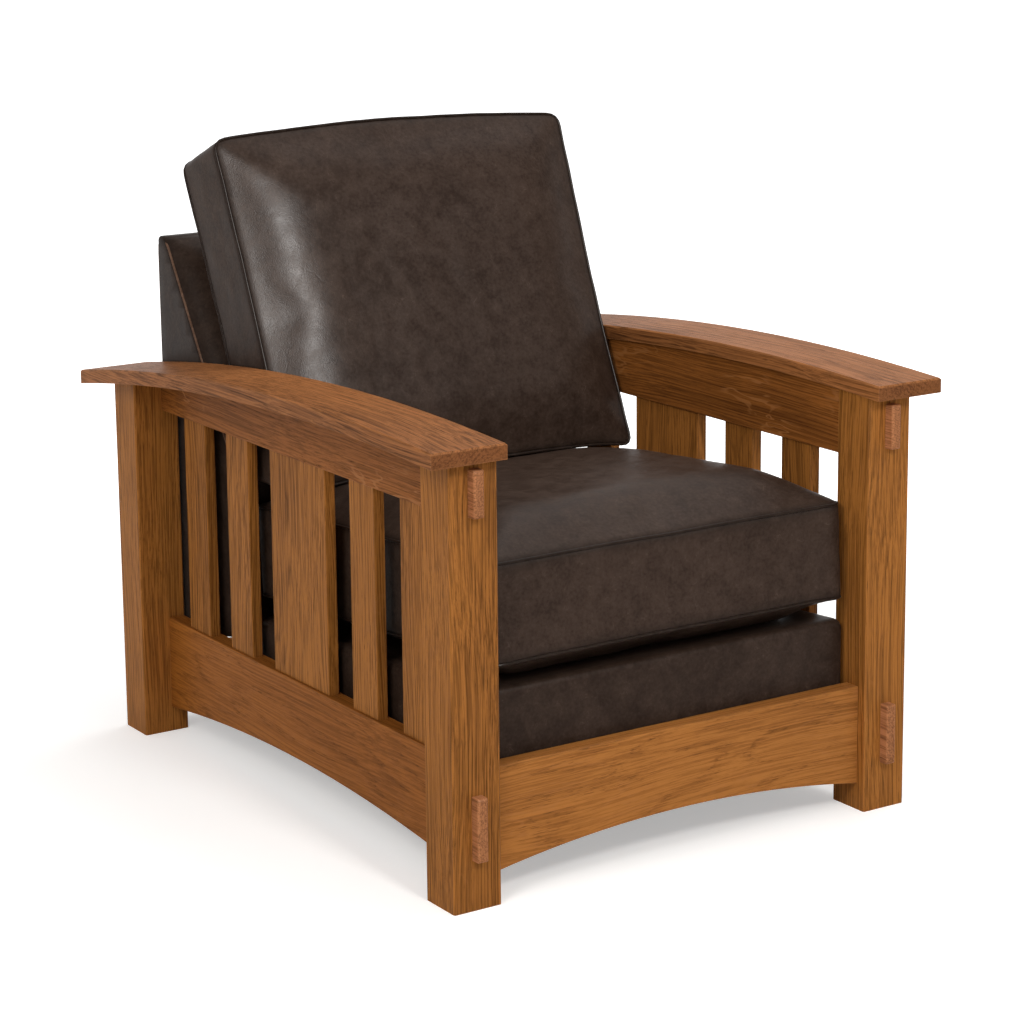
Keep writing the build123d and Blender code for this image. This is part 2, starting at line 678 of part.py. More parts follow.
tube_mouth = strut_fork_length + strut_eye_radius + strut_travel
strut_bracket_y = cross_rail_y
tube_end = pin_y - strut_bracket_y - strut_bracket_thickness / 2
with BuildPart() as strut_tube:
    with BuildSketch(strut_axis.offset(tube_mouth)):
        Circle(strut_tube_radius)
    extrude(amount=tube_end - tube_mouth)
    with BuildSketch(strut_axis.offset(tube_mouth + strut_tube_cap)):
        Circle(strut_tube_bore)
    extrude(amount=tube_end - tube_mouth - 2 * strut_tube_cap, mode=Mode.SUBTRACT)
    with BuildSketch(strut_axis.offset(tube_mouth)):
        Circle(strut_rod_radius + strut_rod_gap)
    extrude(amount=strut_tube_cap, mode=Mode.SUBTRACT)
hand_in(strut_tube.part, "strut_tube")

# Angle bracket that hangs the strut's front end from the cross rail
with BuildPart() as strut_bracket:
    with BuildSketch(Plane.XZ.offset(-strut_bracket_y)):
        with Locations((0, (strut_axis_z - strut_tube_radius + deck_bottom) / 2)):
            Rectangle(strut_bracket_width, deck_bottom - strut_axis_z + strut_tube_radius)
    extrude(amount=strut_bracket_thickness / 2, both=True)
    with BuildSketch(Plane.XY.offset(deck_bottom - strut_bracket_thickness)):
        with Locations((0, strut_bracket_y)):
            Rectangle(strut_bracket_width, deck_rail_thickness)
    extrude(amount=strut_bracket_thickness)
hand_in(strut_bracket.part, "strut_bracket")

# Upholstered back: a wedge, upright behind and sloped in front
back_rear_y = rear_y - back_rear_gap
back_foot_y = pivot_y + back_foot_from_pivot
back_crest_y = back_rear_y - back_top_thickness
slope = radians(back_slope)
knee_height = back_top - (back_crest_y - back_foot_y) / tan(slope)
stile_rear_y = back_rear_y - back_panel_thickness
stile_foot_y = back_foot_y + back_panel_thickness
back_half = post_inner_x - back_side_gap
stile_outer_x = back_half - back_side_cover
stile_mid_x = stile_outer_x - back_stile_thickness / 2
back_heel_y = back_rear_y - back_tuck_depth
stile_heel_y = back_heel_y - back_panel_thickness
heel_slope = (back_heel_height - back_foot_height) / (back_heel_y - back_foot_y)


def bottom_edge(y):
    return back_foot_height + (y - back_foot_y) * heel_slope


def slope_height(y, behind):
    """Height of the sloped face at depth y, or of a plane that far behind it."""
    return back_top - (back_crest_y - y) / tan(slope) - behind / sin(slope)


def stile_head(y):
    """Height of the stiles' sloped heads at depth y, below padding and webbing."""
    return slope_height(y, back_pad_thickness + webbing_thickness)


back_outline = [
    (back_foot_y, back_foot_height),
    (back_heel_y, back_heel_height),
    (back_rear_y, back_tuck_height),
    (back_rear_y, back_top),
    (back_crest_y, back_top),
    (back_foot_y, knee_height),
]
stile_outline = [
    (stile_foot_y, bottom_edge(stile_foot_y)),
    (stile_heel_y, bottom_edge(stile_heel_y)),
    (stile_rear_y, back_tuck_height),
    (stile_rear_y, stile_head(stile_rear_y)),
    (stile_foot_y, stile_head(stile_foot_y)),
]
panel_outline = [
    (stile_heel_y, bottom_edge(stile_heel_y)),
    (back_heel_y, back_heel_height),
    (back_rear_y, back_tuck_height),
    (back_rear_y, back_top),
    (stile_rear_y, back_top),
    (stile_rear_y, back_tuck_height),
]
for side, hand in sides:
    with BuildPart() as stile:
        with BuildSketch(Plane.YZ.offset(side * stile_mid_x)):
            Polygon(*stile_outline, align=None)
        extrude(amount=back_stile_thickness / 2, both=True)
    hand_in(stile.part, f"back_stile_{hand}")

with BuildPart() as back_side_covers:
    for side, _ in sides:
        with BuildSketch(Plane.YZ.offset(side * stile_outer_x)):
            Polygon(*back_outline, align=None)
        extrude(amount=side * back_side_cover)
hand_in(back_side_covers.part, "back_side_covers")

# Outside back panel, with a lip over the stiles' upper ends and a tuck past the rear rail below
with BuildPart() as back_panel:
    with BuildSketch(Plane.YZ.offset(-stile_outer_x)):
        Polygon(*panel_outline, align=None)
    extrude(amount=2 * stile_outer_x)
hand_in(back_panel.part, "back_outside_panel")

# Upright panel behind the seat cushion
pad_foot_height = slope_height(stile_foot_y, back_pad_thickness)
with BuildPart() as back_lower_panel:
    with BuildSketch(Plane.YZ.offset(-stile_outer_x)):
        Polygon((back_foot_y, bottom_edge(back_foot_y)), (stile_foot_y, bottom_edge(stile_foot_y)),
                (stile_foot_y, pad_foot_height), (back_foot_y, pad_foot_height), align=None)
    extrude(amount=2 * stile_outer_x)
hand_in(back_lower_panel.part, "back_lower_panel")

# Sloped inside back, padded and crowned between its edges
pad_outline = [
    (back_foot_y, pad_foot_height),
    (back_foot_y, knee_height),
    (back_crest_y, back_top),
    (stile_rear_y, back_top),
    (stile_rear_y, slope_height(stile_rear_y, back_pad_thickness)),
    (stile_foot_y, pad_foot_height),
]
slope_mid_z = (back_top + knee_height) / 2
slope_run = (back_crest_y - back_foot_y) / sin(slope)
slope_plane = Plane(
    origin=(0, (back_crest_y + back_foot_y) / 2, slope_mid_z),
    x_dir=(1, 0, 0),
    z_dir=(0, -cos(slope), sin(slope)),
)
pad_crown_shares = ((0, 0), (0.7, 0.35), (1, 1))
with BuildPart() as back_inside_pad:
    with BuildSketch(Plane.YZ.offset(-stile_outer_x)):
        Polygon(*pad_outline, align=None)
    extrude(amount=2 * stile_outer_x)
    for rise_share, inset_share in pad_crown_shares:
        inset = inset_share * back_pad_edge_run
        with BuildSketch(slope_plane.offset(rise_share * back_pad_crown)):
            RectangleRounded(2 * stile_outer_x - 2 * inset, slope_run - 2 * inset, cushion_corner / 2)
    loft()
hand_in(back_inside_pad.part, "back_inside_pad")

# Rails between the back's stiles
rail_half = stile_outer_x - back_stile_thickness
top_rail_y = stile_rear_y - back_rail_thickness
top_rail_head = stile_head(top_rail_y)
with BuildPart() as back_rail_top:
    with BuildSketch(Plane.YZ.offset(-rail_half)):
        Polygon((top_rail_y, top_rail_head - back_rail_height),
                (stile_rear_y, top_rail_head - back_rail_height),
                (stile_rear_y, stile_head(stile_rear_y)), (top_rail_y, top_rail_head), align=None)
    extrude(amount=2 * rail_half)
hand_in(back_rail_top.part, "back_rail_top")

foot_rail_low = stile_head(stile_foot_y) - back_rail_height
with BuildPart() as back_rail_bottom:
    with BuildSketch(Plane.XY.offset(foot_rail_low)):
        with Locations((0, stile_foot_y + back_rail_thickness / 2)):
            Rectangle(2 * rail_half, back_rail_thickness)
    extrude(amount=back_rail_height)
hand_in(back_rail_bottom.part, "back_rail_bottom")

# Webbing straps of the back, from stile to stile behind the padded slope
webbing_plane = slope_plane.offset(-back_pad_thickness)
webbing_sink = slope_mid_z - back_pad_thickness * sin(slope)
webbing_low = (pad_foot_height - webbing_sink) / cos(slope) + webbing_end_margin
webbing_high = (slope_height(top_rail_y, back_pad_thickness) - webbing_sink) / cos(slope)
webbing_pitch = (webbing_high - webbing_low) / back_webbing_count
with BuildPart() as back_webbing:
    with BuildSketch(webbing_plane):
        with Locations((0, (webbing_low + webbing_high) / 2)):
            with GridLocations(0, webbing_pitch, 1, back_webbing_count):
                Rectangle(2 * stile_outer_x - 2 * webbing_end_margin, webbing_width)
    extrude(amount=-webbing_thickness)
hand_in(back_webbing.part, "back_webbing")

# Hinge plates: a strap from the shaft to the inner face of each stile
strap_bottom = pivot_height - hinge_strap_drop
plate_rear_y = stile_foot_y + hinge_plate_width + hinge_plate_thickness
plate_front_y = plate_rear_y - hinge_plate_width
hinge_outline = [
    (pivot_y, strap_bottom),
    (plate_rear_y, strap_bottom),
    (plate_rear_y, strap_bottom + hinge_plate_height),
    (plate_front_y, strap_bottom + hinge_plate_height),
    (plate_front_y, back_foot_height - hinge_plate_thickness / 2),
    (pivot_y, back_foot_height - hinge_plate_thickness / 2),
]
hinge_screw_places = [
    (plate_front_y + hinge_plate_width / 2, bottom_edge(plate_rear_y) + share * hinge_plate_height)
    for share in (0.2, 0.45, 0.7)
]
for side, hand in sides:
    with BuildPart() as hinge_plate:
        with BuildSketch(Plane.YZ.offset(side * rail_half)):
            Polygon(*hinge_outline, align=None)
            with Locations((pivot_y, pivot_height)):
                Circle(hinge_boss_radius)
                Circle(shaft_radius, mode=Mode.SUBTRACT)
            with Locations(*hinge_screw_places):
                Circle(screw_radius, mode=Mode.SUBTRACT)
        extrude(amount=-side * hinge_plate_thickness)
    hand_in(hinge_plate.part, f"hinge_plate_{hand}")

with BuildPart() as hinge_screws:
    for side, _ in sides:
        for place_y, place_z in hinge_screw_places:
            head_x = side * (rail_half - hinge_plate_thickness)
            head = Plane(origin=(head_x, place_y, place_z), z_dir=(-side, 0, 0))
            with BuildSketch(head):
                Circle(screw_head_radius)
            extrude(amount=screw_head_height)
            with BuildSketch(head):
                Circle(screw_radius)
            extrude(amount=-hinge_plate_thickness)
hand_in(hinge_screws.part, "hinge_screws")

# Loose back cushion, leaning on the sloped inside back
lean = radians(back_cushion_recline)
cushion_foot_y = pivot_y - back_cushion_front_from_pivot
seat_crown = deck_top - deck_fall(cushion_foot_y) + (seam_high + seat_cushion_upper_crown) / cos(tilt)
cushion_foot = seat_crown - back_cushion_settling
cushion_plane = Plane(
    origin=(0, cushion_foot_y, cushion_foot),
    x_dir=(1, 0, 0),
    z_dir=(0, -cos(lean), sin(lean)),
)
back_cushion_width = 2 * (arm_inner_x - back_cushion_side_gap)
edge_inset = back_cushion_width * 0.16
back_stations = (
    (-back_cushion_boxing - back_cushion_rear_crown, edge_inset, cushion_drawn_in / 2),
    (-back_cushion_boxing - back_cushion_rear_crown * 0.55, edge_inset * 0.25, cushion_drawn_in / 2),
    (-back_cushion_boxing, 0, cushion_drawn_in),
    (-back_cushion_boxing / 2, 0, cushion_drawn_in),
    (0, 0, cushion_drawn_in),
    (back_cushion_front_crown * 0.55, edge_inset * 0.25, cushion_drawn_in / 2),
    (back_cushion_front_crown, edge_inset, cushion_drawn_in / 2),
)
with BuildPart() as back_cushion:
    for depth, inset, draw in back_stations:
        foot = max(0, -depth) * tan(lean)
        with BuildSketch(cushion_plane.offset(depth)):
            with BuildLine():
                pillow(-back_cushion_width / 2 + inset, back_cushion_width / 2 - inset,
                       foot + inset, back_cushion_height - inset, cushion_corner,
                       back_cushion_side_bow, -draw, back_cushion_top_bow)
            make_face()
    loft()
hand_in(back_cushion.part, "back_cushion")
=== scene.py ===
import math
import bmesh
import bpy
from mathutils import Matrix, Vector, noise
from mathutils.kdtree import KDTree


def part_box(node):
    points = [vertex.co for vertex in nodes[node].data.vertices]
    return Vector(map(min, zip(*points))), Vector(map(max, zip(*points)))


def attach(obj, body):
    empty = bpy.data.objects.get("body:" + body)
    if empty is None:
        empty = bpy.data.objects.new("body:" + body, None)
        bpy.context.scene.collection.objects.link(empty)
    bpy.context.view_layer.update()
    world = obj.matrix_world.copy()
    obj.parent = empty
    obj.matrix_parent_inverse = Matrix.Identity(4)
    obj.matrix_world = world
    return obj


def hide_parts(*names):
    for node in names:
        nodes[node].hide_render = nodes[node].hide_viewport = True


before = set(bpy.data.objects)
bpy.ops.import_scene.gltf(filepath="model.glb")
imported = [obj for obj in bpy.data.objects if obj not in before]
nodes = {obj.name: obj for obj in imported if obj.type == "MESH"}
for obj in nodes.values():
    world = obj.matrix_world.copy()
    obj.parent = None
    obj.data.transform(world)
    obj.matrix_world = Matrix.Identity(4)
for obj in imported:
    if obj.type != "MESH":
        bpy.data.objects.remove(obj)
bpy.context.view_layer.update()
scene = bpy.context.scene


# Shader helpers
def fill_in(tree, node, ins):
    """Sets or links a node's inputs by name, spaces as underscores. _0, _1 name them by number."""
    for key, value in ins.items():
        socket = node.inputs[int(key[1:])] if key[0] == "_" else node.inputs[key.replace("_", " ")]
        if isinstance(value, bpy.types.NodeSocket):
            tree.links.new(value, socket)
        else:
            socket.default_value = value


def put(tree, kind, props=None, **ins):
    """One shader node, with its properties and inputs."""
    node = tree.nodes.new("ShaderNode" + kind)
    for key, value in (props or {}).items():
        setattr(node, key, value)
    fill_in(tree, node, ins)
    return node


def maths(tree, operation, a, b=0.0, clamp=False):
    return put(tree, "Math", {"operation": operation, "use_clamp": clamp}, _0=a, _1=b).outputs[0]


def vmaths(tree, operation, a, b):
    return put(tree, "VectorMath", {"operation": operation}, _0=a, _1=b).outputs[0]


def ramp(tree, value, low, high, to_low=0.0, to_high=1.0):
    """Eases a value over from one range to another."""
    node = put(tree, "MapRange", {"clamp": True, "interpolation_type": "SMOOTHSTEP"}, Value=value,
               From_Min=low, From_Max=high, To_Min=to_low, To_Max=to_high)
    return node.outputs[0]


def mix(tree, factor, a, b, blend="MIX"):
    node = put(tree, "Mix", {"data_type": "RGBA", "blend_type": blend}, _0=factor, _6=a, _7=b)
    return node.outputs[2]


def noise_at(tree, vector, scale, detail=2.0, rough=0.5, distort=0.0):
    node = put(tree, "TexNoise", {"noise_dimensions": "3D"}, Vector=vector, Scale=scale,
               Detail=detail, Roughness=rough, Distortion=distort)
    return node.outputs[0]


def group(name, inputs, outputs):
    """An empty shader group, with what its inside reads from and links to."""
    tree = bpy.data.node_groups.new(name, "ShaderNodeTree")
    for label, kind, value in inputs:
        socket = tree.interface.new_socket(label, in_out="INPUT", socket_type="NodeSocket" + kind)
        socket.default_value = value
    for label, kind in outputs:
        tree.interface.new_socket(label, in_out="OUTPUT", socket_type="NodeSocket" + kind)
    return tree, tree.nodes.new("NodeGroupInput").outputs, tree.nodes.new("NodeGroupOutput").inputs


def use(tree, made, **ins):
    """Puts a shader group to use and gives its outputs."""
    node = tree.nodes.new("ShaderNodeGroup")
    node.node_tree = made
    fill_in(tree, node, ins)
    return node.outputs


def material(name):
    """A material with one Principled surface."""
    made = bpy.data.materials.new(name)
    made.use_nodes = True
    tree = made.node_tree
    tree.nodes.clear()
    out = put(tree, "OutputMaterial")
    surface = put(tree, "BsdfPrincipled")
    tree.links.new(surface.outputs[0], out.inputs["Surface"])
    return made, tree, surface


def set_in(tree, surface, **ins):
    fill_in(tree, surface, ins)


# Oak
PORE_COLOR = (0.05, 0.016, 0.006, 1)
RAY_COLOR = (0.36, 0.145, 0.045, 1)
END_COLOR = (0.1, 0.034, 0.012, 1)
# Lighter edges: partly wear, partly painted highlight
EDGE_WEAR_AND_HIGHLIGHT_COLOR = (0.42, 0.18, 0.065, 1)
EDGE_WEAR_AND_HIGHLIGHT_WIDTH = 0.0026


def oak_group():
    """Oak along the grain's first axis: rings about a pith, dark streaks, pores and ray flecks."""
    tree, gin, gout = group("oak", [
        ("Grain", "Vector", (0, 0, 0)), ("Pith", "Vector", (0, 0.09, 0.16)),
        ("Light", "Color", (0.4, 0.15, 0.045, 1)), ("Dark", "Color", (0.19, 0.058, 0.016, 1)),
        ("Rays", "Float", 0.3), ("Ring Size", "Float", 300.0)],
        [("Color", "Color"), ("Roughness", "Float"), ("Height", "Float")])
    grain = gin["Grain"]
    slow = vmaths(tree, "MULTIPLY", grain, (1.6, 5.0, 5.0))
    warp = put(tree, "TexNoise", Vector=slow, Scale=1.0, Detail=2.0, Roughness=0.45)
    push = vmaths(tree, "MULTIPLY", vmaths(tree, "SUBTRACT", warp.outputs["Color"], (0.5, 0.5, 0.5)),
                  (0.0, 0.055, 0.055))
    bent = vmaths(tree, "ADD", grain, push)
    apart = vmaths(tree, "MULTIPLY", vmaths(tree, "SUBTRACT", bent, gin["Pith"]), (0.0, 1.0, 1.0))
    radius = put(tree, "VectorMath", {"operation": "LENGTH"}, _0=apart).outputs["Value"]
    jitter = noise_at(tree, vmaths(tree, "MULTIPLY", bent, (1.2, 60.0, 60.0)), 1.0, 2.0)
    turns = maths(tree, "ADD", maths(tree, "MULTIPLY", radius, gin["Ring Size"]),
                  maths(tree, "MULTIPLY", jitter, 1.6))
    ring = maths(tree, "FRACT", turns)
    early = ramp(tree, ring, 0.55, 0.98)
    late = ramp(tree, ring, 0.0, 0.08, 1.0, 0.0)
    band = maths(tree, "MAXIMUM", early, late)
    streak = noise_at(tree, vmaths(tree, "MULTIPLY", bent, (4.0, 420.0, 420.0)), 1.0, 3.0, 0.65)
    streaks = ramp(tree, streak, 0.4, 0.62)
    pore = noise_at(tree, vmaths(tree, "MULTIPLY", bent, (55.0, 1500.0, 1500.0)), 1.0, 1.0)
    pores = maths(tree, "MULTIPLY", ramp(tree, pore, 0.56, 0.7), ramp(tree, band, 0.0, 1.0, 0.35, 1.0))
    tone = noise_at(tree, vmaths(tree, "MULTIPLY", grain, (1.8, 9.0, 9.0)), 1.0, 2.0)
    dark = maths(tree, "ADD", maths(tree, "MULTIPLY", band, 0.2), maths(tree, "MULTIPLY", streaks, 0.6))
    dark = maths(tree, "ADD", dark, ramp(tree, tone, 0.35, 0.75, -0.08, 0.22), clamp=True)
    color = mix(tree, dark, gin["Light"], gin["Dark"])
    color = mix(tree, maths(tree, "MULTIPLY", pores, 0.7), color, PORE_COLOR)
    fleck_at = vmaths(tree, "MULTIPLY", bent, (9.0, 46.0, 46.0))
    fleck = noise_at(tree, fleck_at, 1.0, 2.0, 0.45, 0.6)
    line = ramp(tree, maths(tree, "ABSOLUTE", maths(tree, "SUBTRACT", fleck, 0.52)), 0.006, 0.03, 1.0, 0.0)
    patch = noise_at(tree, vmaths(tree, "MULTIPLY", grain, (7.0, 11.0, 11.0)), 1.0, 0.0)
    patch = ramp(tree, patch, 0.45, 0.62)
    rays = maths(tree, "MULTIPLY", maths(tree, "MULTIPLY", line, patch), gin["Rays"])
    color = mix(tree, rays, color, RAY_COLOR)
    tree.links.new(color, gout["Color"])
    rough = maths(tree, "ADD", maths(tree, "MULTIPLY", pores, 0.18),
                  maths(tree, "MULTIPLY", streaks, 0.06))
    tree.links.new(maths(tree, "SUBTRACT", maths(tree, "ADD", rough, 0.4),
                         maths(tree, "MULTIPLY", rays, 0.1)), gout["Roughness"])
    height = maths(tree, "SUBTRACT", maths(tree, "MULTIPLY", streaks, -0.3), pores)
    tree.links.new(height, gout["Height"])
    return tree


OAK = oak_group()
GRAIN = {"x": ("X", "Y", "Z"), "y": ("Y", "X", "Z"), "z": ("Z", "X", "Y")}
AXIS = {"x": (1, 0, 0), "y": (0, 1, 0), "z": (0, 0, 1)}


def grain_vector(tree, along, shift):
    """The place on the piece with its grain's axis first, shifted so that no two are alike."""
    where = put(tree, "TexCoord").outputs["Object"]
    split = put(tree, "SeparateXYZ", Vector=where).outputs
    order = GRAIN[along]
    joined = put(tree, "CombineXYZ", X=split[order[0]], Y=split[order[1]], Z=split[order[2]]).outputs[0]
    return vmaths(tree, "ADD", joined, shift)


def oak(name, along, seed, light=(0.325, 0.125, 0.026), dark=(0.15, 0.052, 0.01), rays=0.3,
        ring_size=300.0, end_dark=0.5, contrast=(1.12, 0.6)):
    """Stained oak with darker ends, and lighter edges that are partly wear and partly painted highlight.
    contrast scales the light and the dark color.
    """
    made, tree, surface = material(name)
    light, dark = [c * contrast[0] for c in light], [c * contrast[1] for c in dark]
    shift = (seed * 1.37, (seed * 0.613) % 1.0 * 0.4, (seed * 0.271) % 1.0 * 0.4)
    grain = grain_vector(tree, along, shift)
    pith = (0.0, shift[1] + 0.11, shift[2] + 0.09)
    oak_out = use(tree, OAK, Grain=grain, Pith=pith, Light=(*light, 1), Dark=(*dark, 1), Rays=rays,
                  Ring_Size=ring_size)
    normal = put(tree, "NewGeometry").outputs["Normal"]
    facing = maths(tree, "ABSOLUTE", put(tree, "VectorMath", {"operation": "DOT_PRODUCT"}, _0=normal,
                                         _1=AXIS[along]).outputs["Value"])
    end = ramp(tree, facing, 0.7, 0.97)
    color = mix(tree, maths(tree, "MULTIPLY", end, end_dark), oak_out["Color"], END_COLOR)
    # Lighter eased edges: partly wear, partly a painted highlight where the edges catch the light
    eased = put(tree, "Bevel", {"samples": 4}, Radius=EDGE_WEAR_AND_HIGHLIGHT_WIDTH).outputs[0]
    flat = put(tree, "VectorMath", {"operation": "DOT_PRODUCT"}, _0=eased, _1=normal).outputs["Value"]
    wear_and_highlight = ramp(tree, flat, 0.8, 0.985, 1.0, 0.0)
    color = mix(tree, maths(tree, "MULTIPLY", wear_and_highlight, 0.35), color, EDGE_WEAR_AND_HIGHLIGHT_COLOR)
    bump = put(tree, "Bump", Strength=0.22, Distance=0.0006, Height=oak_out["Height"])
    set_in(tree, surface, Base_Color=color, Roughness=oak_out["Roughness"], Normal=bump.outputs[0],
           Specular_IOR_Level=0.04)
    return made


def plain_wood(name, along, seed):
    """Pale frame wood, for what the leather hides."""
    made, tree, surface = material(name)
    shift = (seed * 0.9, seed * 0.31, seed * 0.17)
    grain = grain_vector(tree, along, shift)
    oak_out = use(tree, OAK, Grain=grain, Light=(0.66, 0.5, 0.31, 1), Dark=(0.45, 0.31, 0.17, 1), Rays=0.0,
                  Ring_Size=220.0)
    set_in(tree, surface, Base_Color=oak_out["Color"], Roughness=0.7)
    return made


# Leather
LEATHER_DARK = (0.021, 0.0115, 0.0075, 1)
LEATHER_LIGHT = (0.053, 0.0335, 0.0245, 1)
# Painted shade in the creases and along the seams
CREASE_AND_SEAM_SHADE_COLOR = (0.012, 0.008, 0.006, 1)
SCUFF_COLOR = (0.1, 0.066, 0.048, 1)


def leather_group():
    """Dark brown leather: clouds and mottling, creases, scuffs and a pebbled grain, with painted shade in
    the creases and along the seams.
    """
    tree, gin, gout = group("leather", [
        ("Place", "Vector", (0, 0, 0)), ("Seam", "Float", 0.0)],
        [("Color", "Color"), ("Roughness", "Float"), ("Height", "Float")])
    place = gin["Place"]
    cloud = noise_at(tree, place, 9.0, 5.0, 0.62, 0.4)
    mottle = noise_at(tree, place, 46.0, 4.0, 0.6, 0.3)
    speck = noise_at(tree, place, 210.0, 3.0, 0.6)
    fine = maths(tree, "ADD", maths(tree, "MULTIPLY", mottle, 0.35), maths(tree, "MULTIPLY", speck, 0.35))
    shade = maths(tree, "ADD", maths(tree, "MULTIPLY", cloud, 0.3), fine)
    color = mix(tree, ramp(tree, shade, 0.3, 0.7), LEATHER_DARK, LEATHER_LIGHT)
    wander = put(tree, "TexNoise", Vector=place, Scale=30.0, Detail=2.0).outputs["Color"]
    bent = vmaths(tree, "ADD", place, vmaths(tree, "MULTIPLY", wander, (0.02, 0.02, 0.02)))
    cells = put(tree, "TexVoronoi", {"feature": "DISTANCE_TO_EDGE"}, Vector=bent, Scale=16.0)
    crease = ramp(tree, cells.outputs["Distance"], 0.0, 0.03, 1.0, 0.0)
    crease = maths(tree, "MULTIPLY", crease, ramp(tree, cloud, 0.5, 0.7, 0.0, 0.7))
    # Painted shade in the crease lines
    color = mix(tree, maths(tree, "MULTIPLY", crease, 0.2), color, CREASE_AND_SEAM_SHADE_COLOR)
    scuff = noise_at(tree, place, 38.0, 2.0, 0.5, 2.2)
    scuff = maths(tree, "ABSOLUTE", maths(tree, "SUBTRACT", scuff, 0.5))
    scuff = ramp(tree, scuff, 0.002, 0.012, 1.0, 0.0)
    scuff = maths(tree, "MULTIPLY", scuff, ramp(tree, mottle, 0.48, 0.66, 0.0, 0.4))
    color = mix(tree, scuff, color, SCUFF_COLOR)
    # Painted shade along the seams
    color = mix(tree, maths(tree, "MULTIPLY", gin["Seam"], 0.75), color, CREASE_AND_SEAM_SHADE_COLOR)
    pebble = put(tree, "TexVoronoi", {"feature": "SMOOTH_F1"}, Vector=place, Scale=900.0).outputs["Distance"]
    waves = maths(tree, "ADD", maths(tree, "MULTIPLY", mottle, 0.9), maths(tree, "MULTIPLY", crease, -0.3))
    height = maths(tree, "ADD", maths(tree, "MULTIPLY", pebble, -0.35), waves)
    rough = maths(tree, "ADD", ramp(tree, mottle, 0.3, 0.7, 0.32, 0.4),
                  maths(tree, "MULTIPLY", gin["Seam"], 0.15))
    tree.links.new(color, gout["Color"])
    tree.links.new(rough, gout["Roughness"])
    tree.links.new(height, gout["Height"])
    return tree


LEATHER = leather_group()


def leather(name, seam_attribute=True, tint=None, bump=0.35):
    """Leather with painted shade towards the seams stored on the piece. tint multiplies its color."""
    made, tree, surface = material(name)
    place = put(tree, "TexCoord").outputs["Object"]
    seam = put(tree, "Attribute", {"attribute_name": "seam"}).outputs["Fac"] if seam_attribute else 0.0
    out = use(tree, LEATHER, Place=place, Seam=seam)
    color = out["Color"]
    if tint:
        color = mix(tree, 1.0, color, (*tint, 1), "MULTIPLY")
    bumped = put(tree, "Bump", Strength=bump, Distance=0.0012, Height=out["Height"])
    set_in(tree, surface, Base_Color=color, Roughness=out["Roughness"], Normal=bumped.outputs[0],
           Specular_IOR_Level=0.045)
    return made


def metal(name, color, rough, metallic=1.0):
    """Metal with faint smears in color and roughness."""
    made, tree, surface = material(name)
    place = put(tree, "TexCoord").outputs["Object"]
    smear = noise_at(tree, vmaths(tree, "MULTIPLY", place, (400.0, 60.0, 60.0)), 1.0, 3.0)
    tone = mix(tree, ramp(tree, smear, 0.3, 0.7), (*[c * 0.8 for c in color], 1), (*color, 1))
    set_in(tree, surface, Base_Color=tone, Metallic=metallic,
           Roughness=ramp(tree, smear, 0.3, 0.7, rough * 0.8, rough * 1.25))
    return made


def webbing(name):
    """Woven straps."""
    made, tree, surface = material(name)
    place = put(tree, "TexCoord").outputs["Object"]
    wave_x = put(tree, "TexWave", {"bands_direction": "X"}, Vector=place, Scale=170.0).outputs["Fac"]
    wave_y = put(tree, "TexWave", {"bands_direction": "Y"}, Vector=place, Scale=120.0).outputs["Fac"]
    weave = maths(tree, "MULTIPLY", wave_x, wave_y)
    color = mix(tree, weave, (0.02, 0.017, 0.014, 1), (0.09, 0.075, 0.06, 1))
    bumped = put(tree, "Bump", Strength=0.5, Distance=0.0006, Height=weave)
    set_in(tree, surface, Base_Color=color, Roughness=0.9, Normal=bumped.outputs[0])
    return made


# Wood nodes
def soften(node, width=0.0011, segments=2):
    """Eases a board's edges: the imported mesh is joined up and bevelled, in the render only."""
    weld = node.modifiers.new("weld", "WELD")
    weld.merge_threshold = 0.00002
    ease = node.modifiers.new("ease", "BEVEL")
    ease.width = width
    ease.segments = segments
    ease.limit_method = "ANGLE"
    ease.angle_limit = math.radians(28)
    level = node.modifiers.new("level", "WEIGHTED_NORMAL")
    level.keep_sharp = True


def paint(node, made):
    """Puts one material in all slots of a node."""
    for slot in node.material_slots:
        slot.material = made
    if not node.material_slots:
        node.data.materials.append(made)


wood_looks = {}
seed = 1
for side in ("left", "right"):
    for end in ("front", "rear"):
        wood_looks[f"{end}_post_{side}"] = dict(along="z", rays=0.12, ring_size=260.0)
    wood_looks[f"arm_{side}"] = dict(along="y", light=(0.31, 0.118, 0.038), dark=(0.13, 0.047, 0.014),
                                     rays=0.3, ring_size=150.0)
    wood_looks[f"upper_rail_{side}"] = dict(along="y", light=(0.26, 0.09, 0.019), dark=(0.14, 0.045, 0.009),
                                            rays=0.7)
    wood_looks[f"lower_rail_{side}"] = dict(along="y", light=(0.3, 0.103, 0.018), dark=(0.18, 0.058, 0.01),
                                            rays=0.1, contrast=(1.04, 0.85))
    for number in range(1, 6):
        wood_looks[f"slat_{side}_{number}"] = dict(along="z", rays=0.15)
wood_looks["front_rail"] = dict(along="x", light=(0.38, 0.148, 0.034), dark=(0.22, 0.08, 0.018), rays=0.25,
                                contrast=(1.04, 0.9))
wood_looks["rear_rail"] = dict(along="x", rays=0.2)
tenon = dict(along="y", light=(0.4, 0.165, 0.07), dark=(0.26, 0.1, 0.04), rays=0.0, end_dark=0.2)
wood_looks["upper_tenon_ends"] = tenon
wood_looks["lower_tenon_ends"] = tenon
for name, look in wood_looks.items():
    paint(nodes[name], oak("oak_" + name, seed=seed, **look))
    soften(nodes[name])
    seed += 1
for name in nodes:
    if name.startswith(("seat_cleat", "deck_rail", "deck_cross", "back_rail", "back_stile", "arm_dowels")):
        along = "z" if "stile" in name else "y" if ("left" in name or "right" in name) else "x"
        paint(nodes[name], plain_wood("plain_" + name, along, seed))
        soften(nodes[name], 0.0015)
        seed += 1

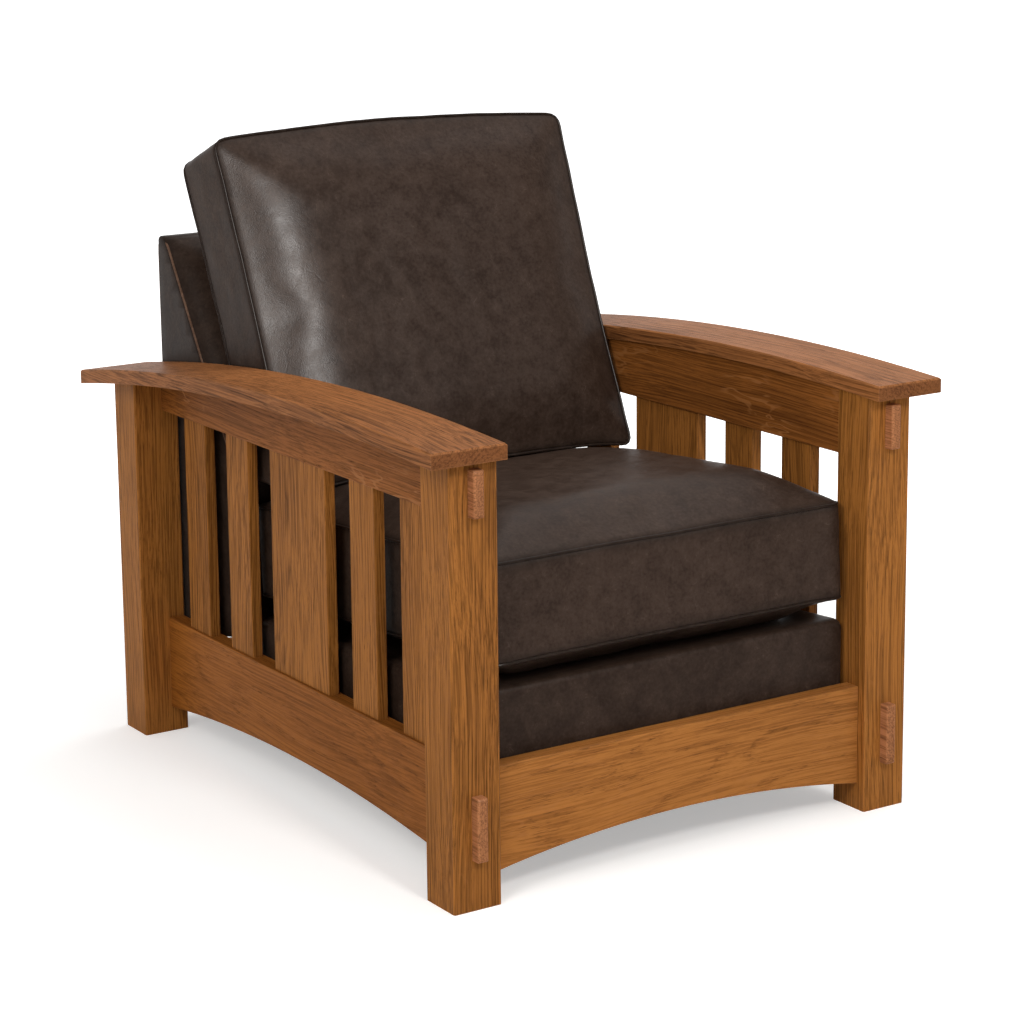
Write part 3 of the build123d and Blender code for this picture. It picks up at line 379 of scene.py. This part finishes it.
black_steel = metal("black_steel", (0.03, 0.03, 0.032), 0.42, 0.6)
zinc = metal("zinc_steel", (0.62, 0.62, 0.6), 0.34)
chromed = metal("chromed_steel", (0.8, 0.8, 0.82), 0.12)
straps = webbing("webbing")
fittings = {
    black_steel: ("strut_tube", "hinge_plate_left", "hinge_plate_right", "pivot_bracket_left",
                  "pivot_bracket_right", "strut_bracket", "recline_lever"),
    zinc: ("recline_shaft", "strut_pin", "frame_screws", "hinge_screws"),
    chromed: ("strut_rod",),
    straps: ("seat_webbing", "back_webbing")}
for made, names in fittings.items():
    for name in names:
        paint(nodes[name], made)

cushion_leather = leather("cushion_leather")
body_leather = leather("body_leather", tint=(0.85, 0.85, 0.85))
piping_leather = leather("piping_leather", seam_attribute=False, tint=(0.5, 0.5, 0.5), bump=0.1)
welt_leather = leather("welt_leather", seam_attribute=False, tint=(3.6, 3.3, 3.0), bump=0.1)


# Soft pieces
def mesh_piece(name, block, made, body):
    """Turns a finished bmesh into a smooth object that rides on a body."""
    mesh = bpy.data.meshes.new(name)
    block.to_mesh(mesh)
    block.free()
    mesh.polygons.foreach_set("use_smooth", [True] * len(mesh.polygons))
    piece = bpy.data.objects.new(name, mesh)
    scene.collection.objects.link(piece)
    mesh.materials.append(made)
    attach(piece, body)
    return piece


def grid_block(size, cell):
    """A block about the origin, its faces divided into a grid."""
    block = bmesh.new()
    bmesh.ops.create_cube(block, size=1.0, matrix=Matrix.Diagonal((*size, 1.0)))
    for axis in range(3):
        along = [e for e in block.edges if abs(e.verts[0].co[axis] - e.verts[1].co[axis]) > size[axis] / 2]
        bmesh.ops.subdivide_edges(block, edges=along, cuts=max(1, round(size[axis] / cell) - 1))
    return block


def dome(inset, run):
    """Rise of a crown at a distance from the seam: 0 on it, 1 past the run."""
    return 1 - max(0.0, 1 - inset / run) ** 2


def least(*rises):
    """Smooth least of some rises between 0 and 1."""
    if min(rises) <= 0:
        return 0.0
    power = 3
    return (sum(rise ** -power for rise in rises) - len(rises) + 1) ** (-1 / power)


def rounded(x, y, half_x, half_y, corner):
    """Moves a point of a square grid so that the grid's outline has rounded corners."""
    over_x, over_y = abs(x) - (half_x - corner), abs(y) - (half_y - corner)
    if over_x > 0 and over_y > 0:
        a, b = over_x / corner, over_y / corner
        a, b = a * math.sqrt(1 - b * b / 2), b * math.sqrt(1 - a * a / 2)
        x = math.copysign(half_x - corner + a * corner, x)
        y = math.copysign(half_y - corner + b * corner, y)
    return x, y


def inflate(piece, half, pressure, cap, frames=20, smoothing=6, seam_share=0.3, seam_run=0.13):
    """Blows the closed cover up as cloth and keeps the result.

    The steps of its points are smoothed. No point moves further than cap, and on the seams and
    the boxing no further than seam_share of it.
    """
    rest = [v.co.copy() for v in piece.data.vertices]
    cloth = piece.modifiers.new("cloth", "CLOTH")
    settings = cloth.settings
    settings.quality = 5
    settings.mass = 0.35
    settings.tension_stiffness = 20
    settings.compression_stiffness = 16
    settings.shear_stiffness = 8
    settings.bending_stiffness = 0.6
    settings.use_pressure = True
    settings.uniform_pressure_force = pressure
    settings.effector_weights.gravity = 0
    cloth.collision_settings.use_collision = False
    cloth.point_cache.frame_start = 1
    cloth.point_cache.frame_end = frames
    for number in range(1, frames + 1):
        scene.frame_set(number)
    graph = bpy.context.evaluated_depsgraph_get()
    blown = piece.evaluated_get(graph).to_mesh()
    moved = [v.co.copy() for v in blown.vertices]
    piece.evaluated_get(graph).to_mesh_clear()
    piece.modifiers.remove(cloth)
    scene.frame_set(1)
    steps = [new - old for old, new in zip(rest, moved)]
    for _ in range(smoothing):
        total, count = [step.copy() for step in steps], [1] * len(steps)
        for edge in piece.data.edges:
            a, b = edge.vertices
            total[a] += steps[b]
            total[b] += steps[a]
            count[a] += 1
            count[b] += 1
        steps = [step / near for step, near in zip(total, count)]
    for vertex, old, step in zip(piece.data.vertices, rest, steps):
        inset = max(0.0, min(half.x - abs(old.x), half.y - abs(old.y)))
        most = cap * (seam_share + (1 - seam_share) * dome(inset, seam_run))
        if step.length > most:
            step *= most / step.length
        vertex.co = old + step


def seam_nearness(piece, lines, reach):
    """Stores how near each point is to a seam, the mask of the leather's painted seam shade: 1 on it, 0 at
    reach and beyond.
    """
    points = [p for line in lines for p in line]
    tree = KDTree(len(points))
    for number, point in enumerate(points):
        tree.insert(point, number)
    tree.balance()
    layer = piece.data.attributes.new("seam", "FLOAT", "POINT")
    for number, vertex in enumerate(piece.data.vertices):
        layer.data[number].value = max(0.0, 1 - tree.find(vertex.co)[2] / reach)


def smooth_loop(points):
    return [(points[i - 1] + 2 * points[i] + points[(i + 1) % len(points)]) / 4 for i in range(len(points))]


def piping(name, points, radius, body, closed=True, made=None):
    """A round cord sewn in along a seam, of the cushions' piping or another leather."""
    curve = bpy.data.curves.new(name, "CURVE")
    curve.dimensions = "3D"
    curve.bevel_depth = radius
    curve.bevel_resolution = 2
    curve.use_fill_caps = True
    spline = curve.splines.new("POLY")
    spline.points.add(len(points) - 1)
    for target, point in zip(spline.points, points):
        target.co = (*point, 1)
    spline.use_cyclic_u = closed
    line = bpy.data.objects.new(name, curve)
    scene.collection.objects.link(line)
    curve.materials.append(made or piping_leather)
    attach(line, body)
    return line


TOUCH = 1e-5
LOWER_HASTE = 1.3
DENT_DEPTH, DENT_SCALE = 0.0009, 14
SEAM_REACH = 0.012


def cushion(name, node, body, place, size, look, finish=None):
    """A loose boxed cushion: blown up, brought back to its size, then laid in its place.

    look holds the corner's radius, how far the sides are drawn in, the far side's bow, the
    rises of both crowns, the crowns' runs from the sides, near edge and far edge, the cell, the
    cloth's pressure and cap, the cord's radius, the filling (which is not used), and by what
    share the far side is wider.
    """
    half = Vector(size) / 2
    block = grid_block(size, look["cell"])
    rim = [[], []]
    for vertex in block.verts:
        x, y, z = vertex.co
        on_rim = abs(x) > half.x - TOUCH or abs(y) > half.y - TOUCH
        u, v = x / half.x, y / half.y
        if abs(z) > half.z - TOUCH:
            if on_rim:
                rim[0 if z < 0 else 1].append((math.atan2(v, u), vertex.index))
            else:
                rise = least(dome(half.x - abs(x), look["side_run"]), dome(half.y + y, look["near_run"]),
                             dome(half.y - y, look["far_run"]))
                z += look["upper"] * rise if z > 0 else -look["lower"] * min(1.0, rise * LOWER_HASTE)
        x, y = rounded(x, y, half.x, half.y, look["corner"])
        x -= math.copysign(look["draw"] * (1 - v * v), u) * abs(u) ** 3
        x *= 1 + look["flare"] * max(0.0, v)
        y -= (look["draw"] if v < 0 else -look["bow"]) * (1 - u * u) * math.copysign(abs(v) ** 3, v)
        vertex.co = (x, y, z)
    seams = [[index for _, index in sorted(line)] for line in rim]
    piece = mesh_piece(name, block, cushion_leather, body)
    before = [Vector(p) for p in piece_box(piece)]
    inflate(piece, half, look["pressure"], look["cap"])
    after = piece_box(piece)
    for vertex in piece.data.vertices:
        for axis in range(3):
            share = (vertex.co[axis] - after[0][axis]) / (after[1][axis] - after[0][axis])
            vertex.co[axis] = before[0][axis] + share * (before[1][axis] - before[0][axis])
        dent = DENT_DEPTH * noise.fractal(vertex.co * DENT_SCALE + Vector((3.1, 0.7, 5.2)), 0.7, 2.1, 4)
        vertex.co += vertex.co.normalized() * dent
        if finish:
            vertex.co = finish(vertex.co)
        vertex.co = place @ vertex.co
    piece.data.update()
    normals = [v.normal.copy() for v in piece.data.vertices]
    cord = look["cord"]
    # Subdivision draws a seam in by about 0.18 of a cell
    proud = 0.3 * cord - 0.18 * look["cell"]
    lines = []
    for number, seam in enumerate(seams, start=1):
        line = smooth_loop([piece.data.vertices[i].co + normals[i] * proud for i in seam])
        lines.append(line)
        piping(f"{name}_piping_{number}", line, cord, body)
    seam_nearness(piece, lines, SEAM_REACH)
    divide = piece.modifiers.new("divide", "SUBSURF")
    divide.levels = divide.render_levels = 1
    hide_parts(node)
    return piece


def piece_box(piece):
    """Lowest and highest corner of a piece's points."""
    spots = [v.co for v in piece.data.vertices]
    return [Vector([pick(p[axis] for p in spots) for axis in range(3)]) for pick in (min, max)]


# The seat cushion lies on the deck, which falls towards the rear
tilt = math.radians(4.0)
deck_edge = Vector((0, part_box("deck_band_front")[0].y, 0.265))
deck_turn = Matrix.Rotation(-tilt, 4, "X")
seat_overhang, seat_under, seat_upper = 0.012, 0.021, 0.046
seat_size = (0.571, 0.614, 0.145)
seat_place = (Matrix.Translation(deck_edge) @ deck_turn
              @ Matrix.Translation((0, seat_size[1] / 2 - seat_overhang, seat_under + seat_size[2] / 2)))
seat_floor = -seat_size[2] / 2 - seat_under
seat_squash, seat_clearance = 0.4, 0.0004


def on_deck(co):
    """Presses the cushion's lower side flat on the deck."""
    below = min(0.0, co.z + seat_size[2] / 2)
    return Vector((co.x, co.y, max(co.z + seat_squash * below, seat_floor + seat_clearance)))


cushion("seat_cushion_cover", "seat_cushion", "frame", seat_place, seat_size, dict(
    corner=0.017, draw=0.004, bow=-0.004, upper=seat_upper, lower=seat_under, side_run=0.11, near_run=0.11,
    far_run=0.37, cell=0.0095, pressure=4.0, cap=0.014, cord=0.0021, fill=0.85, flare=0.0), finish=on_deck)


# The back cushion stands on the seat cushion and leans on the reclining back
lean = math.radians(22.5)
back_foot = Vector((0, 0.0525, 0.4236))
back_turn = Matrix(((1, 0, 0), (0, math.sin(lean), -math.cos(lean)),
                    (0, math.cos(lean), math.sin(lean)))).to_4x4()
back_size = (0.575, 0.507, 0.124)
back_settling, back_droop = 0.0008, 0.010
back_raise, back_recess = 0.002, 0.001
back_place = (Matrix.Translation(back_foot) @ back_turn
              @ Matrix.Translation((0, back_size[1] / 2 + back_raise, -back_size[2] / 2 - back_recess)))


def level_foot(co):
    """Lifts the cushion's lower side towards its rear, so that it stands level on the seat.

    Its corners hang lower, as the seat's crown falls away there.
    """
    depth = max(0.0, back_size[2] / 2 - co.z)
    low = max(0.0, min(1.0, 0.5 - co.y / back_size[1]))
    hang = back_settling + back_droop * min(1.0, abs(co.x) / (back_size[0] / 2)) ** 6
    return Vector((co.x, co.y + (depth * math.tan(lean) - hang) * low, co.z))


cushion("back_cushion_cover", "back_cushion", "back", back_place, back_size, dict(
    corner=0.015, draw=0.002, bow=0.014, upper=0.023, lower=0.021, side_run=0.12, near_run=0.12,
    far_run=0.12, cell=0.0095, pressure=4.0, cap=0.014, cord=0.0021, fill=0.8, flare=0.014),
    finish=level_foot)


# Upholstered deck and back
def outline_block(outline, half):
    """A solid across the chair, from -half to half, with this outline in depth and height."""
    block = bmesh.new()
    side = block.faces.new([block.verts.new((-half, y, z)) for y, z in outline])
    far = bmesh.ops.extrude_face_region(block, geom=[side])["geom"]
    bmesh.ops.translate(block, verts=[v for v in far if isinstance(v, bmesh.types.BMVert)],
                        vec=(2 * half, 0, 0))
    bmesh.ops.recalc_face_normals(block, faces=block.faces)
    return block


def edges_on(block, *planes):
    """Edges whose two ends lie on every one of the planes (point, normal)."""
    return [edge for edge in block.edges
            if all(abs((v.co - Vector(point)).dot(Vector(normal))) < TOUCH
                   for point, normal in planes for v in edge.verts)]


def round_over(block, edges, radius, segments):
    bmesh.ops.bevel(block, geom=edges, offset=radius, offset_type="OFFSET", segments=segments,
                    profile=0.5, affect="EDGES", material=-1)


def slice_up(block, step):
    """Cuts the block into cells by planes across all three axes."""
    for axis in range(3):
        low = min(v.co[axis] for v in block.verts)
        high = max(v.co[axis] for v in block.verts)
        count = round((high - low) / step)
        for number in range(1, count):
            point, normal = [0, 0, 0], [0, 0, 0]
            point[axis], normal[axis] = low + (high - low) * number / count, 1
            bmesh.ops.bisect_plane(block, geom=block.verts[:] + block.edges[:] + block.faces[:],
                                   dist=1e-6, plane_co=point, plane_no=normal)


def remove_faces(block, test):
    gone = [f for f in block.faces if test(f)]
    bmesh.ops.delete(block, geom=gone, context="FACES")


def finish_cover(piece, thickness, seams, replaced):
    seam_nearness(piece, seams, 0.01)
    shell = piece.modifiers.new("shell", "SOLIDIFY")
    shell.thickness = thickness
    shell.offset = -1
    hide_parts(*replaced)


def straight(start, stop, step=0.012):
    """Points along a straight line."""
    start, stop = Vector(start), Vector(stop)
    count = max(1, round((stop - start).length / step))
    return [start.lerp(stop, i / count) for i in range(count + 1)]


def deck_cover():
    """One leather cover over the deck: front band, sides and padded top."""
    low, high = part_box("deck_band_front")[0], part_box("deck_top_pad")[1]
    half, front, rear, bottom, top = high.x, low.y, high.y, low.z, deck_edge.z
    rear_top = top - (rear - front) * math.tan(tilt)
    block = outline_block([(front, bottom), (front, top), (rear, rear_top), (rear, bottom)], half)
    fall = (0, math.sin(tilt), math.cos(tilt))
    upper = ((0, front, top), fall)
    edge_planes = [((0, front, 0), (0, 1, 0)), ((half, 0, 0), (1, 0, 0)), ((-half, 0, 0), (1, 0, 0))]
    edges = [e for plane in edge_planes for e in edges_on(block, upper, plane)]
    edges += [e for plane in edge_planes[1:] for e in edges_on(block, edge_planes[0], plane)]
    edge_radius, cell = 0.014, 0.024
    round_over(block, edges, edge_radius, 5)
    slice_up(block, cell)
    remove_faces(block, lambda f: f.normal.z < -0.99 or f.normal.y > 0.99)
    hem_height, slack, ripple_depth = 0.004, 0.0016, 0.0014
    for vertex in block.verts:
        x, y, z = vertex.co
        ripple = ripple_depth * noise.noise(Vector((x * 42, y * 22, z * 9)))
        inward = slack if z > bottom + hem_height else 0.0
        vertex.co.y += max(0.0, inward + ripple) if y < front + 0.001 else 0.0
    piece = mesh_piece("deck_cover", block, body_leather, "frame")
    hem = straight((-half, front, bottom), (half, front, bottom))
    finish_cover(piece, 0.0035, [hem],
                 ("deck_top_pad", "deck_band_front", "deck_band_left", "deck_band_right"))


deck_cover()


def back_cover():
    """The reclining back's leather cover: sides, crowned inside, top and outside in one skin."""
    side_low, side_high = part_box("back_side_covers")
    half, rear, top, foot_y, heel_z = side_high.x, side_high.y, side_high.z, side_low.y, side_low.z
    foot_z, tuck_z, heel_y, crest = 0.184, 0.25, rear - 0.04, rear - 0.022
    slope = math.radians(32.5)
    knee = top - (crest - foot_y) / math.tan(slope)
    outline = [(foot_y, foot_z), (foot_y, knee), (crest, top), (rear, top), (rear, tuck_z), (heel_y, heel_z)]
    block = outline_block(outline, half)
    across = [((0, y, 0), (0, 1, 0)) for y in (foot_y, rear)]
    inside = ((0, crest, top), (0, -math.cos(slope), math.sin(slope)))
    ceiling = ((0, 0, top), (0, 0, 1))
    knee_radius, top_radius, rim_radius, cell = 0.02, 0.007, 0.004, 0.02
    round_over(block, edges_on(block, across[0], inside), knee_radius, 4)
    round_over(block, edges_on(block, inside, ceiling) + edges_on(block, ceiling, across[1]), top_radius, 3)
    rims = [e for e in block.edges
            if abs(e.verts[0].co.x) > half - TOUCH and e.verts[0].co.x == e.verts[1].co.x
            and max(v.co.z for v in e.verts) >= foot_z + TOUCH]
    round_over(block, rims, rim_radius, 3)
    slice_up(block, cell)
    remove_faces(block, lambda f: f.normal.z < -0.9)
    block.normal_update()
    run = (crest - foot_y) / math.sin(slope)
    crown_height, crown_run, wave_depth = 0.0255, 0.06, 0.0008
    for vertex in block.verts:
        x, y, z = vertex.co
        if vertex.normal.dot(Vector(inside[1])) > 0.93:
            along = (y - foot_y) / math.sin(slope)
            insets = (half - abs(x), along, run - along)
            vertex.co += Vector(inside[1]) * crown_height * math.prod(dome(i, crown_run) for i in insets)
        elif vertex.normal.y > 0.9:
            vertex.co.y -= wave_depth * (1 + noise.noise(Vector((x * 12, 3.0, z * 12))))
    piece = mesh_piece("back_cover", block, body_leather, "back")
    rim = [Vector((0, y, z)) for y, z in outline]
    spots = [p for start, stop in zip(rim, rim[1:]) for p in straight(start, stop)[:-1]] + rim[-1:]
    centre = Vector((0, (foot_y + rear) / 2, (heel_z + top) / 2))
    welt_radius, welt_inset = 0.0019, 0.0022
    welts = []
    for side, hand in ((-1, "left"), (1, "right")):
        out = Vector((side * (half - welt_inset), 0, 0))
        line = [out + p + (centre - p).normalized() * welt_inset for p in spots]
        for _ in range(2):
            inner = [(a + 2 * b + c) / 4 for a, b, c in zip(line, line[1:], line[2:])]
            line = line[:1] + inner + line[-1:]
        welts.append(line)
        piping(f"back_welt_{hand}", line, welt_radius, "back", closed=False, made=welt_leather)
    finish_cover(piece, 0.002, welts,
                 ("back_inside_pad", "back_side_covers", "back_outside_panel", "back_lower_panel"))


back_cover()

# Camera and light, as fitted to the photo's edges
eye = Vector((-2.1112, -3.2897, 1.3308))
yaw, pitch, roll = math.radians(33.138), math.radians(11.603), math.radians(-0.568)
back_axis = Vector((-math.sin(yaw) * math.cos(pitch), -math.cos(yaw) * math.cos(pitch), math.sin(pitch)))
level_right = Vector((math.cos(yaw), -math.sin(yaw), 0))
level_up = level_right.cross(-back_axis)
right = level_right * math.cos(roll) + level_up * math.sin(roll)
up = level_up * math.cos(roll) - level_right * math.sin(roll)
turn = Matrix((right, up, back_axis)).transposed().to_4x4()
lens = bpy.data.cameras.new("camera")
lens.lens = 100.06
lens.sensor_width = 36.0
lens.shift_y = -0.109
lens.clip_end = 200
camera = bpy.data.objects.new("camera", lens)
camera.matrix_world = Matrix.Translation(eye) @ turn
scene.collection.objects.link(camera)
scene.camera = camera

reach = 60.0
floor_block = bmesh.new()
bmesh.ops.create_grid(floor_block, x_segments=1, y_segments=1, size=reach)
floor_mesh = bpy.data.meshes.new("floor")
floor_block.to_mesh(floor_mesh)
floor_block.free()
floor = bpy.data.objects.new("floor", floor_mesh)
scene.collection.objects.link(floor)
floor_look, floor_tree, floor_surface = material("floor")
set_in(floor_tree, floor_surface, Base_Color=(0.88, 0.88, 0.88, 1), Roughness=0.9,
       Specular_IOR_Level=0.0)


def seen_or_mirrored(tree):
    """1 for what the camera sees, straight or in a reflection, and 0 for the light on the chair."""
    path = put(tree, "LightPath").outputs
    seen = maths(tree, "MAXIMUM", path["Is Camera Ray"], path["Is Glossy Ray"])
    return maths(tree, "MAXIMUM", seen, path["Is Transmission Ray"])


floor_place = put(floor_tree, "TexCoord").outputs["Object"]
distance = put(floor_tree, "VectorMath", {"operation": "LENGTH"}, _0=floor_place).outputs["Value"]
glow = maths(floor_tree, "MULTIPLY", ramp(floor_tree, distance, 0.7, 2.2, 0.38, 1.0),
             seen_or_mirrored(floor_tree))
set_in(floor_tree, floor_surface, Emission_Color=(1, 1, 1, 1), Emission_Strength=glow)
floor_mesh.materials.append(floor_look)

world = bpy.data.worlds.new("studio")
scene.world = world
world.use_nodes = True
sky = world.node_tree
sky.nodes.clear()
room = put(sky, "Background", Color=(1.0, 0.985, 0.965, 1), Strength=0.5)
white = put(sky, "Background", Color=(1, 1, 1, 1), Strength=1.0)
both = put(sky, "MixShader", _0=seen_or_mirrored(sky), _1=room.outputs[0], _2=white.outputs[0])
sky.links.new(both.outputs[0], put(sky, "OutputWorld").inputs["Surface"])


def lamp(name, place, aim, size, power, color=(1, 1, 1)):
    """A rectangular lamp aimed at a point."""
    light = bpy.data.lights.new(name, "AREA")
    light.shape = "RECTANGLE"
    light.size, light.size_y = size
    light.energy = power
    light.color = color
    made = bpy.data.objects.new(name, light)
    made.location = place
    made.rotation_euler = (Vector(aim) - Vector(place)).to_track_quat("-Z", "Y").to_euler()
    scene.collection.objects.link(made)
    return made


lamp("side", (-2.8, -1.8, 2.5), (0, 0, 0.5), (1.0, 1.4), 44, (1.0, 0.97, 0.93))
lamp("front", (-0.3, -3.2, 2.7), (0, 0, 0.5), (0.45, 0.6), 43, (1.0, 0.98, 0.95))
# Seen by reflections alone: the sheen on the back cushion
glint = lamp("glint", (-0.35, -3.2, 2.6), (0, 0, 0.6), (0.75, 1.2), 780, (1.0, 0.96, 0.93))
glint.visible_diffuse = False
lamp("top", (1.1, 0.3, 3.2), (0, -0.1, 0.4), (2.0, 2.0), 38)
scene.view_settings.view_transform = "Standard"
